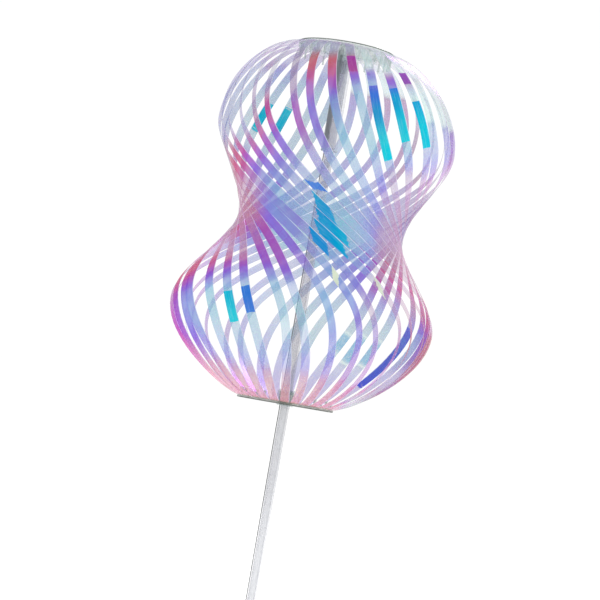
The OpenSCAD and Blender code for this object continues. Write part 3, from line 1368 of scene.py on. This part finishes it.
@dataclass
class Stick:
    """The stick that carries the cage, with its caps.

    Attributes:
        rings: How many grip rings the foot cap has.
        first: Height of the lowest one, as a share of the cap.
        pitch: Share of the cap from one to the next.
        thick: Thickness of a ring outwards.
        tall: Height of a ring.
    """

    rings: int = 4
    first: float = 0.35
    pitch: float = 0.14
    thick: float = 0.5 * MM
    tall: float = 0.9 * MM

    def build(self, finishes: Finishes) -> None:
        """Dresses the stick and adds the foot cap's grip rings.

        Args:
            finishes: The pinwheel's materials.
        """
        cap = Plastic.CAP
        dress(finishes, {"stick_tube": Plastic.STICK, "foot_cap": cap, "tip_plug": cap})
        low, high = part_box("foot_cap")
        for k in range(self.rings):
            height = low.z + (high.z - low.z) * (self.first + self.pitch * k)
            section = bead(high.x, height, self.thick, self.tall)
            name = f"foot_cap_ring_{k + 1}"
            turned(name, section, finishes.plastics[cap], "stick")


@dataclass
class Clamp:
    """What both clamps have: plates, a darker rim, and a weld that holds the ribbons.

    Attributes:
        name: First word of its pieces' names.
        body: The body it moves with.
        slot: The record's material slot of its plates; not used.
        rim: Thickness of the raised rim.
        weld_in: How far the weld lies inside the clamp's rim.
    """

    name: str
    body: str
    slot: str
    rim: float
    weld_in: float = 8.8 * MM

    def add(self, part: str, section: Outline, material: Material) -> None:
        """Adds a finely stepped ring, named after the clamp and its part."""
        name = f"{self.name}_{part}"
        turned(name, section, material, self.body, FINE_STEPS)

    def add_rim(self, finishes: Finishes, radius: float, height: float) -> None:
        """Adds the rim inside that radius, at that height."""
        section = bead(radius - self.rim / 2, height, self.rim, self.rim)
        self.add("rim", section, finishes.plastics[Plastic.RIM])

    def add_weld(self, finishes: Finishes, radius: float, place: str) -> None:
        """Adds the weld between the plates, at the height of the joint that is named."""
        section = bead(radius - self.weld_in, joint(place)["pos_m"][2], *WELD)
        self.add("weld", section, finishes.plastics[Plastic.GLUE])


@dataclass
class UpperClamp(Clamp):
    """The two plates and the sleeve that turn on the stick's tip.

    Attributes:
        ring_in: Inner radius of the moulded ring, as a share of the plate's.
        ring_out: Its outer radius.
        ring_high: How far it stands up.
    """

    name: str = "upper"
    body: str = "head"
    slot: str = "clear_disc"
    rim: float = 0.6 * MM
    ring_in: float = 0.30
    ring_out: float = 0.33
    ring_high: float = 0.15 * MM

    def build(self, finishes: Finishes) -> None:
        """Dresses the clamp and adds its rim, weld and sleeve details.

        Args:
            finishes: The pinwheel's materials.
        """
        disc = Plastic.DISC
        dress(finishes, {
            "top_cover_disc": disc, "top_clamp_plate": disc, "upper_pegs": Plastic.GLUE,
            "sleeve_tube": Plastic.SLEEVE,
        })
        plain = finishes.plastics[disc]
        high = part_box("top_cover_disc")[1]
        self.add_rim(finishes, high.x, high.z)
        inner, outer, top = high.x * self.ring_in, high.x * self.ring_out, high.z + self.ring_high
        section = [(inner, high.z), (inner, top), (outer, top), (outer, high.z)]
        turned("upper_moulding_ring", section, plain, self.body)
        self.add_weld(finishes, high.x, "cage_spin")
        low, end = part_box("sleeve_tube")
        section = bead(end.x - MOUTH_IN, low.z + MOUTH_UP, *MOUTH)
        turned("sleeve_mouth", section, plain, self.body)


@dataclass
class LowerClamp(Clamp):
    """The plates that slide and turn on the stick, with their bush."""

    name: str = "lower"
    body: str = "lower_clamp"
    slot: str = "green_plastic"
    rim: float = 0.5 * MM

    def build(self, finishes: Finishes) -> None:
        """Dresses the clamp and adds its rim and weld.

        Args:
            finishes: The pinwheel's materials.
        """
        dress(finishes, {
            "collar_bush": Plastic.BUSH, "lower_clamp_plate": Plastic.BUSH,
            "lower_pegs": Plastic.GLUE, "lower_cover_disc": Plastic.GREEN,
        })
        low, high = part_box("lower_cover_disc")
        self.add_rim(finishes, high.x, low.z + RIM_UP)
        self.add_weld(finishes, high.x, "lower_clamp_twist")


# ---- studio

WHITE: Colour = (1.0, 1.0, 1.0)
FLOOR_R, FLOOR_STEPS, FLOOR_GRAIN = 60.0, 96, 18.0
FLOOR_GREYS = ((0.86, 0.86, 0.86), (0.90, 0.90, 0.90))
# Strength of the glow, first as it lights the parts, then as the camera sees it.
FLOOR_GLOW, WORLD_GLOW = (0.30, 0.62), (0.60, 1.02)
# How often light may bounce, and how many see-through layers it may pass.
MOST_BOUNCES, MOST_LAYERS = 24, 96


@dataclass(frozen=True)
class Lamp:
    """A soft square studio light, with its place and its sides' length in metres."""

    name: str
    place: tuple[float, float, float]
    size: float
    watts: float


@dataclass
class Studio:
    """Pale floor, soft light and the camera.

    Attributes:
        distance: How far the camera stands from the stick.
        lens: Focal length in millimetres, on a 36 mm wide sensor.
        aim_up: How far above the lower clamp the camera aims, in metres.
        aside: Sideways place of the camera, in metres.
        roll: How far the stick leans to the right in the view, in degrees.
        lamps: The lights.
    """

    distance: float = 1.254
    lens: float = 133.2
    aim_up: float = 0.0582
    aside: float = -0.0017
    roll: float = 9.9
    lamps: tuple[Lamp, ...] = (
        Lamp("key light", (1.7, -1.3, 1.5), 2.4, 14.0),
        Lamp("fill light", (-1.8, -0.9, 0.9), 1.6, 6.0),
        Lamp("top light", (0.9, 1.7, 2.1), 0.9, 26.0),
    )

    def build(self, shape: CageShape) -> None:
        """Sets up floor, lights, surroundings and camera.

        Args:
            shape: The cage's shape, for the height that the camera stands at.
        """
        self.floor()
        target = Vector((0, 0, shape.base + shape.tall / 2))
        for lamp in self.lamps:
            data = bpy.data.lights.new(lamp.name, "AREA")
            data.shape = "SQUARE"
            data.size = lamp.size
            data.energy = lamp.watts
            made = bpy.data.objects.new(lamp.name, data)
            made.location = lamp.place
            way = target - Vector(lamp.place)
            made.rotation_euler = way.to_track_quat("-Z", "Y").to_euler()
            bpy.context.scene.collection.objects.link(made)
        self.surroundings()
        self.camera(shape)

    def floor(self) -> None:
        """Lays the pale floor under the foot of the stick."""
        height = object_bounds()[0][2]
        turns = [2 * math.pi * k / FLOOR_STEPS for k in range(FLOOR_STEPS)]
        rim = [(FLOOR_R * math.cos(t), FLOOR_R * math.sin(t), height) for t in turns]
        made, sheet, skin = open_material("Pale floor")
        place = sheet.node("ShaderNodeTexCoord").outputs["Object"]
        grain = sheet.spread(sheet.noise(place, FLOOR_GRAIN, 3.0), 0.3, 0.7)
        seen = sheet.node("ShaderNodeLightPath").outputs["Is Camera Ray"]
        sheet.wire(skin, {
            "Base Color": sheet.mix(grain, *FLOOR_GREYS), "Roughness": 0.9,
            "Specular IOR Level": 0.0, "Emission Color": WHITE,
            "Emission Strength": sheet.spread(seen, 0.0, 1.0, *FLOOR_GLOW),
        })
        place_mesh("floor", np.array(rim), [tuple(range(FLOOR_STEPS))], made)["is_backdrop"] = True

    def surroundings(self) -> None:
        """Surrounds the scene with plain white light, brighter to the eye than to the parts."""
        world = bpy.data.worlds.new("Studio")
        bpy.context.scene.world = world
        world.use_nodes = True
        sheet = Sheet(world.node_tree)
        glow = world.node_tree.nodes["Background"]
        seen = sheet.node("ShaderNodeLightPath").outputs["Is Camera Ray"]
        strength = sheet.spread(seen, 0.0, 1.0, *WORLD_GLOW)
        sheet.wire(glow, {"Color": WHITE, "Strength": strength})

    def camera(self, shape: CageShape) -> None:
        """Places the camera level with the lower clamp, tipped up and rolled.

        Args:
            shape: The cage's shape.
        """
        data = bpy.data.cameras.new("camera")
        data.lens = self.lens
        data.sensor_width = 36.0
        data.clip_end = 200.0
        made = bpy.data.objects.new("camera", data)
        pitch = math.pi / 2 + math.atan(self.aim_up / self.distance)
        place = Matrix.Translation((self.aside, -self.distance, shape.base))
        roll = Matrix.Rotation(math.radians(self.roll), 4, "Z")
        made.matrix_world = place @ Matrix.Rotation(pitch, 4, "X") @ roll
        scene = bpy.context.scene
        scene.collection.objects.link(made)
        scene.camera = made
        scene.view_settings.view_transform = "Standard"
        scene.cycles.max_bounces = MOST_BOUNCES
        scene.cycles.transparent_max_bounces = MOST_LAYERS


def main() -> None:
    """Builds the pinwheel piece by piece and reports each one."""
    shape = CageShape.from_frame()
    log.info("cage of %.0f mm from %.0f mm up", shape.tall / MM, shape.base / MM)
    finishes = Finishes()
    Studio().build(shape)
    Stick().build(finishes)
    UpperClamp().build(finishes)
    LowerClamp().build(finishes)
    FilmCage(shape).build(finishes)


if __name__ == "__main__":
    main()
